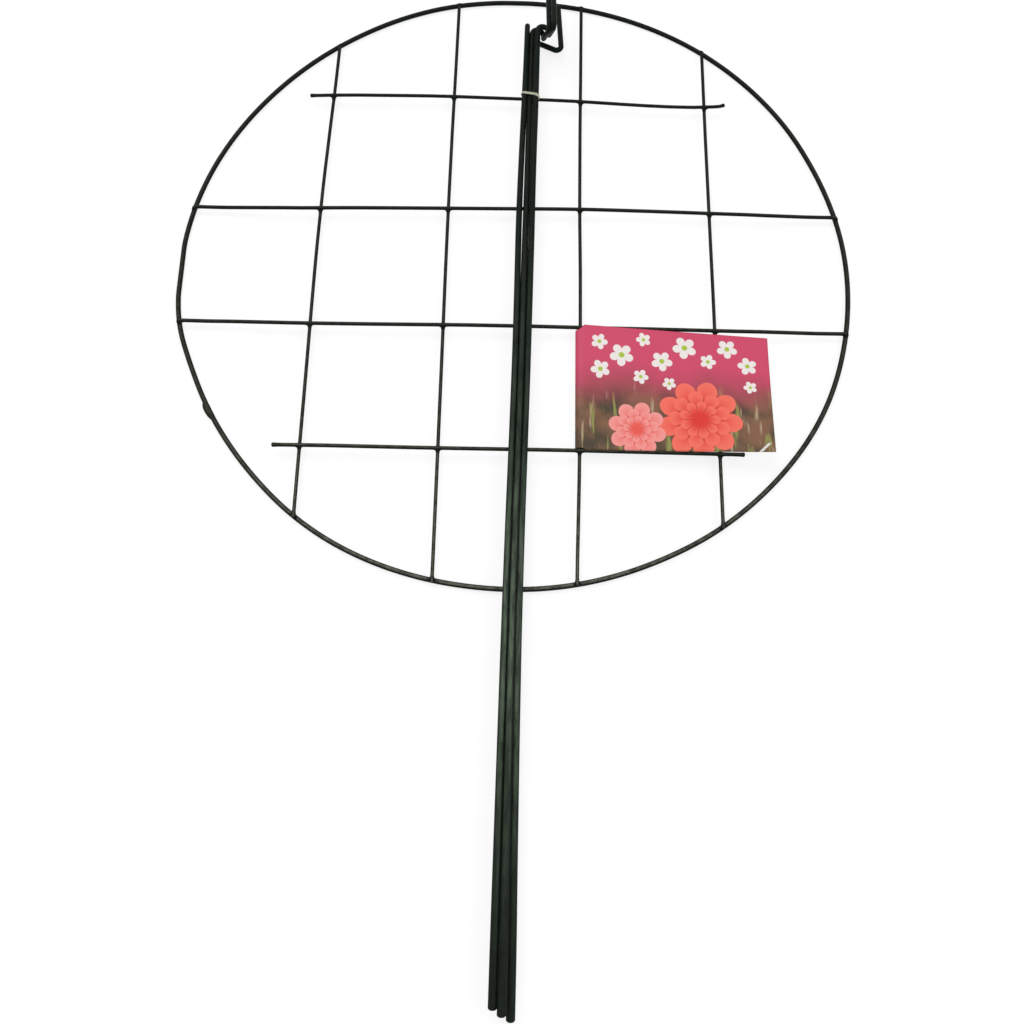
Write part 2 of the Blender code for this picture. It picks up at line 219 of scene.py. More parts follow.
def cross_path(number):
    """A wire across the bars: y at X = 0 plus its lean times x plus its bends.

    A short one stays level but for its right tip, which rises as the power 1.6 of the way along it. A long one
    comes down to the hoop at both ends on half a cosine wave.
    """
    y, lean, bends = CROSS_Y[number - 1], CROSS_LEAN[number - 1], CROSS_BENDS[number - 1]
    if number in SHORT_ENDS:
        left, right = SHORT_ENDS[number]
        bend_from = right - 0.0050
        x = np.concatenate([np.linspace(left, bend_from, 18), bend_from + np.linspace(0.0005, 0.0050, 10)])
        rise = np.clip((x - right + TIP_LENGTH) / TIP_LENGTH, 0.0, 1.0) ** 1.6 * TIP_RISE[number]
    else:
        ends = []
        for way in (-1.0, 1.0):
            side = way * np.sqrt(HOOP_R ** 2 - y ** 2)
            for _ in range(4):
                high = y + lean * side + bent([side], bends)[0]
                side = way * np.sqrt((ring_radius(np.array([[side, high]]))[0] + CROSS_PAST) ** 2 - high ** 2)
            ends.append(side)
        left, right = ends
        x = np.concatenate([np.linspace(left, left + CLOSE_STEPS, 20),
                            np.linspace(left + WIDE_STEPS, right - WIDE_STEPS, 14),
                            np.linspace(right - CLOSE_STEPS, right, 20)])
        t = np.clip((DIP_START - np.minimum(x - left, right - x)) / DIP_LENGTH, 0.0, 1.0)
        rise = (BAR_Z - CROSS_Z) * (0.5 - 0.5 * np.cos(np.pi * t))
    return np.stack([x, y + lean * x + bent(x, bends), CROSS_Z + rise], axis=1)


def wire_gap(path, radius):
    """A function of points: distance to the nearest straight step of the path, less the wire's radius."""
    starts = path[:-1]
    steps = path[1:] - path[:-1]

    def gap(points):
        least = np.full(len(points), 1.0)
        for start, step in zip(starts, steps):
            share = np.clip((points - start) @ step / (step @ step), 0.0, 1.0)
            away = points - start - share[:, None] * step
            least = np.minimum(least, np.linalg.norm(away, axis=1))
        return least - radius

    return gap


bar_paths = [bar_path(*bar) for bar in zip(BAR_X, BAR_LEAN, BAR_BENDS, BAR_PAST)]
cross_paths = [cross_path(number) for number in (1, 2, 3, 4)]
bar_gaps = [wire_gap(path, BAR_COAT / 2) for path in bar_paths]
cross_gaps = [wire_gap(path, coat / 2) for path, coat in zip(cross_paths, CROSS_COAT)]

# The dip: how far the coating bridges from wire to wire, how it rounds a cut end, and the bead that dries on a
# free tip. Points deeper than HIDDEN in another wire stay put, and one step draws a point at most MOST_DRAWN.
HOOP_SIDES, LAP_SIDES, BAR_SIDES = 28, 24, 20
HOOP_FILLET = 0.0024
BAR_FILLET = 0.0026
BAR_DOME = 0.0007
BEAD = 0.00022
BEAD_AT = 0.0011
BEAD_LENGTH = 0.0010
HIDDEN = 0.00025
MOST_DRAWN = 0.0006
TIP_TILT = 1.5


def melted(own, offset, neighbours, spread):
    """A function of points: the smooth least of a wire's own height and its neighbours' heights.

    Two heights a and b meet as min(a, b) - h * h * spread / 4, with h = 1 - |a - b| / spread kept above 0,
    so the coating's surface, where this is zero, has a fillet wherever two wires come close.
    """
    def height(points):
        least = own(points) - offset
        for gap in neighbours:
            other = gap(points)
            h = np.maximum(1.0 - np.abs(least - other) / spread, 0.0)
            least = np.minimum(least, other) - h * h * spread / 4
        return least

    return height


def slope(height, points, step=0.00002):
    """Unit gradient of a height function, by central differences along the three axes."""
    out = np.empty_like(points)
    for k in range(3):
        shift = np.zeros(3)
        shift[k] = step
        out[:, k] = height(points + shift) - height(points - shift)
    return out / np.maximum(np.linalg.norm(out, axis=1), 1e-12)[:, None]


def along(path):
    """Arc length at each point of a path."""
    return np.concatenate([[0.0], np.cumsum(np.linalg.norm(np.diff(path, axis=0), axis=1))])


def stations(path, neighbours, fine=0.00035, every=12, near=0.0055):
    """Ring places along a path: a fine pace near the neighbours and every twelfth step elsewhere."""
    run = along(path)
    at = np.linspace(0.0, run[-1], int(run[-1] / fine) + 2)
    points = np.stack([np.interp(at, run, path[:, k]) for k in range(3)], axis=1)
    keep = np.arange(len(at)) % every == 0
    for gap in neighbours:
        keep |= gap(points) < near
    keep[[0, -1]] = True
    return at[keep]


def tube(path, at, radius, sides, closed=False, dome=0.0, lean=(0.0, 0.0, 1.0)):
    """Rings (n, sides, 3) round a path: centre + radius * (cos a * side + sin a * up) at each station.

    Within a dome's length of each end the radius falls off as a quarter ellipse, which rounds the cut end.
    """
    run = along(path)
    centre = np.stack([np.interp(at, run, path[:, k]) for k in range(3)], axis=1)
    if closed:
        ahead = np.roll(centre, -1, axis=0) - np.roll(centre, 1, axis=0)
    else:
        ahead = np.gradient(centre, at, axis=0)
    ahead /= np.linalg.norm(ahead, axis=1)[:, None]
    side = np.cross(ahead, np.asarray(lean, float))
    side /= np.linalg.norm(side, axis=1)[:, None]
    up = np.cross(side, ahead)
    size = np.full(len(at), 1.0) * radius
    if dome:
        inset = np.minimum(at, at[-1] - at)
        q = np.clip(1.0 - inset / dome, 0.0, 1.0)
        size = size * (0.1 + 0.9 * np.sqrt(np.maximum(1.0 - q * q, 0.0)))
    angle = np.linspace(0.0, 2 * np.pi, sides, endpoint=False)
    ring = np.cos(angle)[None, :, None] * side[:, None, :] + np.sin(angle)[None, :, None] * up[:, None, :]
    return centre[:, None, :] + ring * size[:, None, None]


def tube_faces(rings, sides, closed):
    """Quads between neighbouring rings; an open tube also gets a fan to a middle point at each end."""
    i = np.arange(rings if closed else rings - 1)[:, None]
    k = np.arange(sides)[None, :]
    j = (i + 1) % rings
    m = (k + 1) % sides
    quads = np.stack([i * sides + k, j * sides + k, j * sides + m, i * sides + m], axis=-1).reshape(-1, 4)
    faces = quads.tolist()
    if not closed:
        first = rings * sides
        turn = np.arange(sides)
        after = (turn + 1) % sides
        base = (rings - 1) * sides
        faces += np.stack([np.full(sides, first), turn, after], axis=1).tolist()
        faces += np.stack([np.full(sides, first + 1), base + after, base + turn], axis=1).tolist()
    return faces


def place(name, points, faces, finish, normals=None):
    """A smooth-shaded mesh object at the origin, its points moved from the hoop's centre to their place."""
    mesh = bpy.data.meshes.new(name)
    mesh.from_pydata((points + HOOP_CENTRE).tolist(), [], faces)
    mesh.materials.append(finish)
    mesh.shade_smooth()
    if normals is not None:
        mesh.normals_split_custom_set_from_vertices(normals.tolist())
    mesh.update()
    piece = bpy.data.objects.new(name, mesh)
    bpy.context.scene.collection.objects.link(piece)
    return piece


def coated_wire(name, path, radius, sides, finish, neighbours, spread, closed=False, dome=0.0, own=None,
                beads=None):
    """A wire's coated skin: a tube whose points move out along the melted height's slope to its surface.

    Points well inside a neighbour stay where they are, hidden, so each wire covers its own side of a weld.
    Beads, a function of arc length, is what the coating adds to the radius there. Shading normals are the
    height's slope where points moved, and elsewhere point away from the wire's middle, tilted out at its tips.
    """
    own = own or wire_gap(path, radius)
    at = stations(path, neighbours)
    beads = beads or (lambda along_wire: 0.0)
    if closed:
        at = at[:-1]
    if dome:
        ends = dome * (1.0 - np.cos(np.linspace(0.0, np.pi / 2, 8)))
        middle = at[(at > dome) & (at < at[-1] - dome)]
        at = np.concatenate([ends, middle, at[-1] - ends[::-1]])
    grid = tube(path, at, radius + beads(at), sides, closed, dome)
    points = grid.reshape(-1, 3)
    offset = own(points)
    inside = np.zeros(len(points), bool)
    near = np.zeros(len(points), bool)
    for gap in neighbours:
        other = gap(points)
        inside |= other < -HIDDEN
        near |= other < spread
    move = near & ~inside
    radial = (grid - grid.mean(axis=1, keepdims=True)).reshape(-1, 3)
    normals = radial / np.maximum(np.linalg.norm(radial, axis=1), 1e-9)[:, None]
    if move.any():
        height = melted(own, offset[move], neighbours, spread)
        moved = points[move]
        for _ in range(5):
            up = slope(height, moved)
            moved = moved - np.clip(height(moved), -MOST_DRAWN, MOST_DRAWN)[:, None] * up
        moved[:, 2] = np.maximum(moved[:, 2], 0.0)
        points = points.copy()
        points[move] = moved
        normals[move] = slope(height, moved)
    faces = tube_faces(len(at), sides, closed)
    if not closed:
        run = along(path)
        tips = np.stack([path[0], path[-1]])
        heads = np.stack([path[0] - path[1], path[-1] - path[-2]])
        points = np.vstack([points, tips])
        normals = np.vstack([normals, heads / np.linalg.norm(heads, axis=1)[:, None]])
        inset = np.minimum(at, at[-1] - at)
        q = np.clip(1.0 - inset / max(dome, 1e-9), 0.0, 1.0)
        facing = np.where((at < run[-1] / 2)[:, None], heads[0], heads[1])
        facing = facing / np.linalg.norm(facing, axis=1)[:, None]
        tilt = np.repeat(facing * q[:, None], sides, axis=0)
        flat = ~move
        normals[:-2][flat] += tilt[flat] * TIP_TILT
        normals /= np.linalg.norm(normals, axis=1)[:, None]
    return place(name, points, faces, finish, normals)


def tip_beads(path):
    """What a bead adds to the radius: a bell 1 mm from each tip of a free wire."""
    length = along(path)[-1]
    return lambda at: BEAD * np.exp(-((np.minimum(at, length - at) - BEAD_AT) / BEAD_LENGTH) ** 2)


def coating(name, deep, pale, highlight_tint, low, high, shares, facing, streaks=(1.0, 1.0, 1.0), roughness=0.42):
    """Dark green plastic dip coat: colour drifts between two greens, fine orange-peel and a few pimples.

    Its upper side is painted paler in small spots or streaks, as painted highlight and reflection, in the given
    shares at places from low to high along Y: painted highlight = share along Y * how far the surface faces up
    * patchiness. Facing is the upward part of the normal at which the painted highlight begins and is full.
    """
    finish = bpy.data.materials.new(name)
    finish.use_nodes = True
    nodes = finish.node_tree.nodes
    links = finish.node_tree.links
    shader = nodes["Principled BSDF"]
    shader.inputs["IOR"].default_value = 1.45
    shader.inputs["Specular IOR Level"].default_value = 0.07
    place_at = nodes.new("ShaderNodeTexCoord")

    def noise(scale, detail, rough, stretch=(1.0, 1.0, 1.0)):
        drawn = nodes.new("ShaderNodeMapping")
        drawn.inputs["Scale"].default_value = stretch
        links.new(place_at.outputs["Object"], drawn.inputs["Vector"])
        node = nodes.new("ShaderNodeTexNoise")
        node.inputs["Scale"].default_value = scale
        node.inputs["Detail"].default_value = detail
        node.inputs["Roughness"].default_value = rough
        links.new(drawn.outputs["Vector"], node.inputs["Vector"])
        return node.outputs["Fac"]

    def ranged(value, low_in, high_in, low_out=0.0, high_out=1.0, kind="LINEAR"):
        node = nodes.new("ShaderNodeMapRange")
        node.interpolation_type = kind
        ends = {"From Min": low_in, "From Max": high_in, "To Min": low_out, "To Max": high_out}
        for socket, number in ends.items():
            node.inputs[socket].default_value = number
        links.new(value, node.inputs["Value"])
        return node.outputs["Result"]

    def times(a, b):
        node = nodes.new("ShaderNodeMath")
        node.operation = "MULTIPLY"
        links.new(a, node.inputs[0])
        links.new(b, node.inputs[1])
        return node.outputs[0]

    def parts_of(vector):
        node = nodes.new("ShaderNodeSeparateXYZ")
        links.new(vector, node.inputs["Vector"])
        return node.outputs

    drift = noise(70.0, 4.0, 0.6)
    speck = noise(900.0, 2.0, 0.5)
    tint = nodes.new("ShaderNodeValToRGB")
    tint.color_ramp.elements[0].position = 0.35
    tint.color_ramp.elements[0].color = (*deep, 1.0)
    tint.color_ramp.elements[1].position = 0.68
    tint.color_ramp.elements[1].color = (*pale, 1.0)
    mixed = nodes.new("ShaderNodeMath")
    mixed.operation = "MULTIPLY_ADD"
    links.new(speck, mixed.inputs[0])
    mixed.inputs[1].default_value = 0.45
    links.new(ranged(drift, 0.0, 1.0, 0.0, 0.55), mixed.inputs[2])
    links.new(mixed.outputs[0], tint.inputs["Fac"])

    spread = nodes.new("ShaderNodeValToRGB")
    spread.color_ramp.interpolation = "EASE"
    while len(spread.color_ramp.elements) < len(shares):
        spread.color_ramp.elements.new(0.5)
    for element, (at, share) in zip(spread.color_ramp.elements, shares):
        element.position = at
        element.color = (share, share, share, 1.0)
    links.new(ranged(parts_of(place_at.outputs["Object"])["Y"], low, high), spread.inputs["Fac"])
    # Painted highlight and reflection: the up-facing surface is mixed towards a pale colour by place along Y
    # and noise.
    surface = nodes.new("ShaderNodeNewGeometry")
    upward = ranged(parts_of(surface.outputs["Normal"])["Z"], *facing, kind="SMOOTHSTEP")
    highlight_patches = ranged(noise(260.0, 4.0, 0.70, streaks), 0.36, 0.64, 0.30, 1.0, "SMOOTHSTEP")
    painted_highlight = nodes.new("ShaderNodeMix")
    painted_highlight.data_type = "RGBA"
    painted_highlight.inputs["B"].default_value = (*highlight_tint, 1.0)
    links.new(times(times(spread.outputs["Color"], upward), highlight_patches), painted_highlight.inputs["Factor"])
    links.new(tint.outputs["Color"], painted_highlight.inputs["A"])
    links.new(painted_highlight.outputs["Result"], shader.inputs["Base Color"])

    links.new(ranged(speck, 0.0, 1.0, roughness - 0.08, roughness + 0.14), shader.inputs["Roughness"])
    peel = nodes.new("ShaderNodeBump")
    peel.inputs["Strength"].default_value = 0.35
    peel.inputs["Distance"].default_value = 0.0004
    links.new(noise(650.0, 3.0, 0.55), peel.inputs["Height"])
    pimple = nodes.new("ShaderNodeBump")
    pimple.inputs["Strength"].default_value = 0.5
    pimple.inputs["Distance"].default_value = 0.0005
    links.new(noise(210.0, 1.0, 0.4), pimple.inputs["Height"])
    links.new(peel.outputs["Normal"], pimple.inputs["Normal"])
    links.new(pimple.outputs["Normal"], shader.inputs["Normal"])
    return finish


# Painted highlight and reflection, strongest at the foot end: pairs of place from low to high along Y,
# and share painted there.
GRID_HIGHLIGHT_SHARES = ((0.0, 0.85), (0.10, 0.60), (0.28, 0.26), (0.55, 0.14), (1.0, 0.05))
grid_green = coating("grid_dip_coating", (0.0028, 0.0044, 0.0032), (0.0110, 0.0150, 0.0112),
                     (0.170, 0.180, 0.132), HOOP_CENTRE[1] - HOOP_R, HOOP_CENTRE[1] + HOOP_R, GRID_HIGHLIGHT_SHARES,
                     (0.76, 0.99))

hoop = coated_wire("hoop_wire", hoop_path, HOOP_WIRE / 2, HOOP_SIDES, grid_green,
                   [lap_gap] + bar_gaps + cross_gaps[1:3], HOOP_FILLET, closed=True, own=hoop_gap)
lap = coated_wire("hoop_lapped_end", lap_path, LAP_WIRE / 2, LAP_SIDES, grid_green, [hoop_gap], HOOP_FILLET,
                  own=lap_gap, beads=lap_beads)
for piece in (hoop, lap):
    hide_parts("hoop")
    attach(piece, "grid")

for number, path in enumerate(bar_paths, 1):
    bar = coated_wire(f"vertical_wire_{number}", path, BAR_COAT / 2, BAR_SIDES, grid_green,
                      [hoop_gap] + cross_gaps, BAR_FILLET, dome=BAR_DOME)
    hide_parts(f"vertical_bar_{number}")
    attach(bar, "grid")

for number, (path, coat) in enumerate(zip(cross_paths, CROSS_COAT), 1):
    short = number in SHORT_ENDS
    welded_to = bar_gaps if short else [hoop_gap] + bar_gaps
    bar = coated_wire(f"cross_wire_{number}", path, coat / 2, BAR_SIDES, grid_green, welded_to, BAR_FILLET,
                      dome=BAR_DOME, beads=tip_beads(path) if short else None)
    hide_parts(f"cross_bar_{number}")
    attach(bar, "grid")


# Legs: three identical forms of coated rod: a long shaft, a half-round crook, and an open hook set square
# to it that clips over the hoop in use. The coating has run down, so it is thin at the hook and thick at
# the foot, where it rounds the cut end. Tied at the head, the shafts spring a little sideways.
LEG_WIRE = 0.0034
FOOT_WIRE = 0.0044
FOOT_ROUND = 0.0016

# Thickness and spring are millimetres at shares of the shaft from the foot up.
SHARES = (0.0, 0.06, 0.12, 0.22, 0.33, 0.43, 0.52, 0.60, 0.65, 0.70, 0.75, 0.80, 0.85, 0.90, 0.95, 1.0)
THICK = (4.68, 4.62, 4.44, 4.12, 3.85, 3.78, 3.75, 3.76, 3.80, 3.84, 3.80, 3.72, 3.69, 3.72, 3.60, 3.42)
SPRING = {
    "left": (-0.04, -0.21, -0.33, -0.50, -0.64, -0.52, -0.12, 0.04,
             -0.05, -0.27, -0.60, -0.49, -0.18, 0.22, 0.54, 0.58),
    "middle": (-0.04, -0.20, -0.50, -0.87, -1.15, -1.03, -0.63, -0.40,
               -0.42, -0.48, -0.47, -0.36, -0.36, -0.14, 0.12, 0.12),
    "right": (0.00, -0.19, -0.68, -1.25, -1.67, -1.55, -1.15, -0.85,
              -0.80, -0.76, -0.70, -0.77, -0.71, -0.46, -0.42, -0.42),
}
SHAFT_EASE = 0.05
SHAFT_STEPS = 40
LEG_SIDES = 28

# The hook: how far it reaches aside, drops below the crook and turns up again, and its three bends.
CROOK_R = 0.00368
HOOK_REACH = 0.0220
HOOK_DROP = 0.0118
HOOK_TIP = 0.0225
HOOK_LEAN = 0.0024
ARM_LOW = 0.00498
ARM_HIGH = 0.00437
CROOK_END = 0.0022
CROOK_BEND = 0.0026
HOOK_BEND = 0.0028

# How the three lie in the bundle, side by side, the right one lifted over the others at its head.
HEAD_X = 0.0042
HEAD_Y = 0.1746
FOOT_X = -0.0034
FOOT_Y = -0.4191
LEG_Z = CROSS_Z + BAR_WIRE / 2 + LAYER_GAP + LEG_WIRE / 2
LEG_PITCH = LEG_WIRE + 0.00041
LIFT = 0.0030
FALL = (LIFT - 0.00036) / (HEAD_Y - CROSS_Y[3])
FOOT_PITCH = FOOT_WIRE + 0.00008
FOOT_RISE = (FOOT_WIRE - LEG_WIRE) / 2

# Each leg's head, its foot, and how many degrees its hook is rolled up from lying flat.
LEGS = {
    "left": ((HEAD_X, HEAD_Y, LEG_Z), (FOOT_X, FOOT_Y, LEG_Z + FOOT_RISE), 0.0),
    "middle": ((HEAD_X + LEG_PITCH, HEAD_Y - 0.0044, LEG_Z),
               (FOOT_X + FOOT_PITCH, FOOT_Y - 0.0031, LEG_Z + FOOT_RISE + 0.0018), 75.6),
    "right": ((HEAD_X + 2 * LEG_PITCH + 0.00008, HEAD_Y - 0.0042, LEG_Z + LIFT),
              (FOOT_X + 2 * FOOT_PITCH, FOOT_Y - 0.0054, LEG_Z - FALL * (CROSS_Y[3] - FOOT_Y + 0.0054)), 76.7),
}

# Painted highlight and reflection on the legs' upper side: pairs of place from foot to head, and share painted
# there.
LEG_HIGHLIGHT_SHARES = ((0.03, 0.04), (0.13, 0.22), (0.22, 0.50), (0.31, 0.82), (0.42, 0.58), (0.52, 0.26), (0.64, 0.13),
              (0.76, 0.0))
leg_green = coating("leg_dip_coating", (0.0030, 0.0054, 0.0038), (0.0108, 0.0155, 0.0112),
                    (0.138, 0.188, 0.130), FOOT_Y + HOOP_CENTRE[1], HEAD_Y + HOOP_CENTRE[1], LEG_HIGHLIGHT_SHARES,
                    (0.50, 0.96), streaks=(1.5, 0.16, 1.5), roughness=0.40)


def bend(before, corner, after, radius, count=14):
    """An arc of the given radius in the corner: a turn of the start vector towards the end vector."""
    a = (before - corner) / np.linalg.norm(before - corner)
    b = (after - corner) / np.linalg.norm(after - corner)
    half = np.arccos(np.clip(a @ b, -1.0, 1.0)) / 2
    middle = corner + (a + b) / np.linalg.norm(a + b) * radius / np.sin(half)
    start = corner + a * radius / np.tan(half) - middle
    end = corner + b * radius / np.tan(half) - middle
    sweep = np.pi - 2 * half
    t = np.linspace(0.0, 1.0, count)[:, None]
    return middle + (np.sin((1 - t) * sweep) * start + np.sin(t * sweep) * end) / np.sin(sweep)


def leg_line(length):
    """Centreline in the leg's own axes: shaft along y, crook as a half circle in y-z, hook in x-y.

    The hook is three straight runs with an arc in each of the two corners between them.
    """
    half = np.linspace(0.0, np.pi, 25)
    crook = np.stack([0 * half, CROOK_R * np.sin(half), CROOK_R * (np.cos(half) - 1)], axis=1)
    leave = crook[-1] + np.array([0.0, -CROOK_END, 0.0])
    corner = np.array([HOOK_REACH + 0.0006, -HOOK_DROP - 0.0026, -ARM_LOW])
    tip = np.array([HOOK_REACH - HOOK_LEAN, HOOK_TIP, -ARM_HIGH])
    shaft = np.stack([np.zeros(SHAFT_STEPS), np.linspace(-length, 0.0, SHAFT_STEPS + 1)[:-1],
                      np.zeros(SHAFT_STEPS)], axis=1)
    return np.vstack([shaft, crook, bend(crook[-1], leave, corner, CROOK_BEND),
                      bend(leave, corner, tip, HOOK_BEND), tip[None]])


def leg_spring(which, share):
    """Sideways stray of a leg's shaft at shares of its length."""
    return 0.001 * eased(share, SHARES, SPRING[which], SHAFT_EASE)


def leg_thick(share):
    """A leg's thickness over its coating at shares of its length."""
    return 0.001 * eased(share, SHARES, THICK, SHAFT_EASE)


for which, (head, foot, roll) in LEGS.items():
    head, foot = np.array(head), np.array(foot)
    length = np.linalg.norm(head - foot)
    axis = (head - foot) / length
    flat = np.cross(axis, (0.0, 0.0, 1.0))
    flat /= np.linalg.norm(flat)
    rise = np.cross(flat, axis)
    out = np.cos(np.radians(roll)) * flat + np.sin(np.radians(roll)) * rise
    behind = -np.sin(np.radians(roll)) * flat + np.cos(np.radians(roll)) * rise
    path = head + leg_line(length) @ np.stack([out, axis, behind])
    run = along(path)
    shaft_end = run[SHAFT_STEPS]
    ends = FOOT_ROUND * (1.0 - np.cos(np.linspace(0.0, np.pi / 2, 12)))
    shaft_at = np.arange(0.002, shaft_end, 0.004)
    hook_at = np.linspace(shaft_end, run[-1] - 0.0012, 260)
    at = np.concatenate([ends, shaft_at, hook_at, run[-1] - ends[::-1]])
    share = np.clip(at / shaft_end, 0.0, 1.0)
    rings = tube(path, at, leg_thick(share) / 2, LEG_SIDES, dome=FOOT_ROUND, lean=(behind - out) / np.sqrt(2))
    points = np.vstack([rings.reshape(-1, 3), path[0], path[-1]])
    points[:, 0] += np.append(leg_spring(which, share).repeat(LEG_SIDES), leg_spring(which, (0.0, 1.0)))
    leg = place(f"leg_rod_{which}", points, tube_faces(len(at), LEG_SIDES, False), leg_green)
    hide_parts(f"leg_{which}")
    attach(leg, f"{which}_leg")


# Tie: a loop of thin pale elastic, stretched once round the three legs and the first cross bar. It is a
# flat tight band with no free end, woven in fine ribs, pressed onto the rods it holds.
TIE_WIDE = 0.0019
TIE_THICK = 0.0004
TIE_X = 0.008
TIE_PACE = 0.00015
TIE_SIDES = 24
RIB = 0.0007
RIB_DEPTH = 0.10


def tie_line():
    """Arcs over the outer legs, a run down below the cross bar, one under it, one up beneath the left leg.

    The corners are rounded by averaging each point three times with its neighbours.
    """
    bar_y = np.interp(TIE_X, cross_paths[0][:, 0], cross_paths[0][:, 1])
    share = np.array([(bar_y - FOOT_Y) / (HEAD_Y - FOOT_Y)])
    reach = leg_thick(share)[0] / 2 + TIE_THICK / 2
    centres = []
    for which in ("left", "right"):
        head, foot = (np.array(end) for end in LEGS[which][:2])
        centre = foot + (head - foot) * share[0]
        centre[0] += leg_spring(which, share)[0]
        centres.append(centre)
    left, right = centres
    lean = np.arctan2(right[2] - left[2], right[0] - left[0]) + np.pi / 2
    a = np.linspace(np.radians(230), lean, 9)
    b = np.linspace(lean, np.radians(-45), 12)
    over_left = np.stack([left[0] + reach * np.cos(a), bar_y + np.linspace(0.0024, 0.0016, 9),
                          left[2] + reach * np.sin(a)], axis=1)
    over_right = np.stack([right[0] + reach * np.cos(b), bar_y + np.linspace(-0.0014, -0.0034, 12),
                           right[2] + reach * np.sin(b)], axis=1)
    below = CROSS_Z - CROSS_COAT[0] / 2 - TIE_THICK / 2 - 0.0003
    under = np.array([[right[0] + 0.0010, bar_y - 0.0028, CROSS_Z + 0.0006],
                      [right[0] + 0.0002, bar_y - 0.0020, CROSS_Z - 0.0010],
                      [(left[0] + right[0]) / 2, bar_y, below],
                      [left[0] + 0.0010, bar_y + 0.0020, CROSS_Z - 0.0010],
                      [left[0] + 0.0006, bar_y + 0.0021, CROSS_Z + 0.0004],
                      [left[0] + 0.0002, bar_y + 0.0018, left[2] - reach - 0.0002]])
    loop = np.vstack([over_left, over_right, under, over_left[:1]])
    run = along(loop)
    at = np.linspace(0.0, run[-1], 109)[:-1]
    path = np.stack([np.interp(at, run, loop[:, k]) for k in range(3)], axis=1)
    for _ in range(3):
        path = (np.roll(path, 1, axis=0) + 2 * path + np.roll(path, -1, axis=0)) / 4
    return path


def closed_rings(path, wide, thick, sides, pace):
    """Flat oval rings round a closed loop: wide / 2 * cos a across it, thick / 2 * sin a away from its middle.

    Both are drawn in by the ribs, a cosine wave along the band that winds round it.
    """
    loop = np.vstack([path, path[:1]])
    run = along(loop)
    at = np.linspace(0.0, run[-1], int(run[-1] / pace))[:-1]
    centre = np.stack([np.interp(at, run, loop[:, k]) for k in range(3)], axis=1)
    ahead = np.roll(centre, -1, axis=0) - np.roll(centre, 1, axis=0)
    ahead /= np.linalg.norm(ahead, axis=1)[:, None]
    up = centre - centre.mean(axis=0)
    side = np.cross(ahead, up)
    side /= np.linalg.norm(side, axis=1)[:, None]
    up = np.cross(side, ahead)
    angle = np.linspace(0.0, 2 * np.pi, sides, endpoint=False)
    ribs = 1.0 - RIB_DEPTH * (0.5 + 0.5 * np.cos(at[:, None] * 2 * np.pi / RIB + 6 * angle[None, :]))
    across = wide / 2 * np.cos(angle)[None, :, None] * side[:, None, :]
    away = thick / 2 * np.sin(angle)[None, :, None] * up[:, None, :]
    return centre[:, None, :] + (across + away) * ribs[:, :, None]


cream = bpy.data.materials.new("cream_elastic_cord")
cream.use_nodes = True
cream_nodes = cream.node_tree.nodes
cream_shader = cream_nodes["Principled BSDF"]
cream_shader.inputs["Roughness"].default_value = 0.85
cream_shader.inputs["Sheen Weight"].default_value = 0.25
cream_place = cream_nodes.new("ShaderNodeTexCoord")
cream_noise = cream_nodes.new("ShaderNodeTexNoise")
cream_noise.inputs["Scale"].default_value = 1500.0
cream_tint = cream_nodes.new("ShaderNodeValToRGB")
cream_tint.color_ramp.elements[0].color = (0.30, 0.32, 0.22, 1.0)
cream_tint.color_ramp.elements[0].position = 0.3
cream_tint.color_ramp.elements[1].color = (0.56, 0.58, 0.45, 1.0)
cream_tint.color_ramp.elements[1].position = 0.7
cream.node_tree.links.new(cream_place.outputs["Object"], cream_noise.inputs["Vector"])
cream.node_tree.links.new(cream_noise.outputs["Fac"], cream_tint.inputs["Fac"])
cream.node_tree.links.new(cream_tint.outputs["Color"], cream_shader.inputs["Base Color"])

tie_rings = closed_rings(tie_line(), TIE_WIDE, TIE_THICK, TIE_SIDES, TIE_PACE)
tie = place("elastic_tie", tie_rings.reshape(-1, 3), tube_faces(len(tie_rings), TIE_SIDES, True), cream)
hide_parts("bundle_tie")
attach(tie, "grid")


# Hang card: one piece of coated card creased round the third vertical bar. The back leaf lies under the
# grid and the front leaf on top, its free lower corner curling up. The printed side faces outwards.
CARD_T = 0.0004
CARD_WIDTH = 0.1123
FOLD_X = BAR_X[2] - 0.00265
FOLD_Z = BAR_Z + 0.0013
FOLD_TOP = CROSS_Y[2] - 0.0020
FOLD_BOTTOM = CROSS_Y[3] + 0.0015
LEAF_TOP = CROSS_Y[2] + 0.0006
LEAF_FALL = 0.0062
LEAF_RIGHT = FOLD_X + CARD_WIDTH + 0.0004
BACK_Z = HOOP_WIRE - CARD_T / 2 - 0.0001
FRONT_Z = CROSS_Z + BAR_WIRE / 2 + 0.0006
FRONT_BEND = 0.0050
BACK_BEND = 0.0027
LOW_FALL = 0.0034
LOW_STEP = 0.0011
SAG = 0.0008
CURL = 0.0072


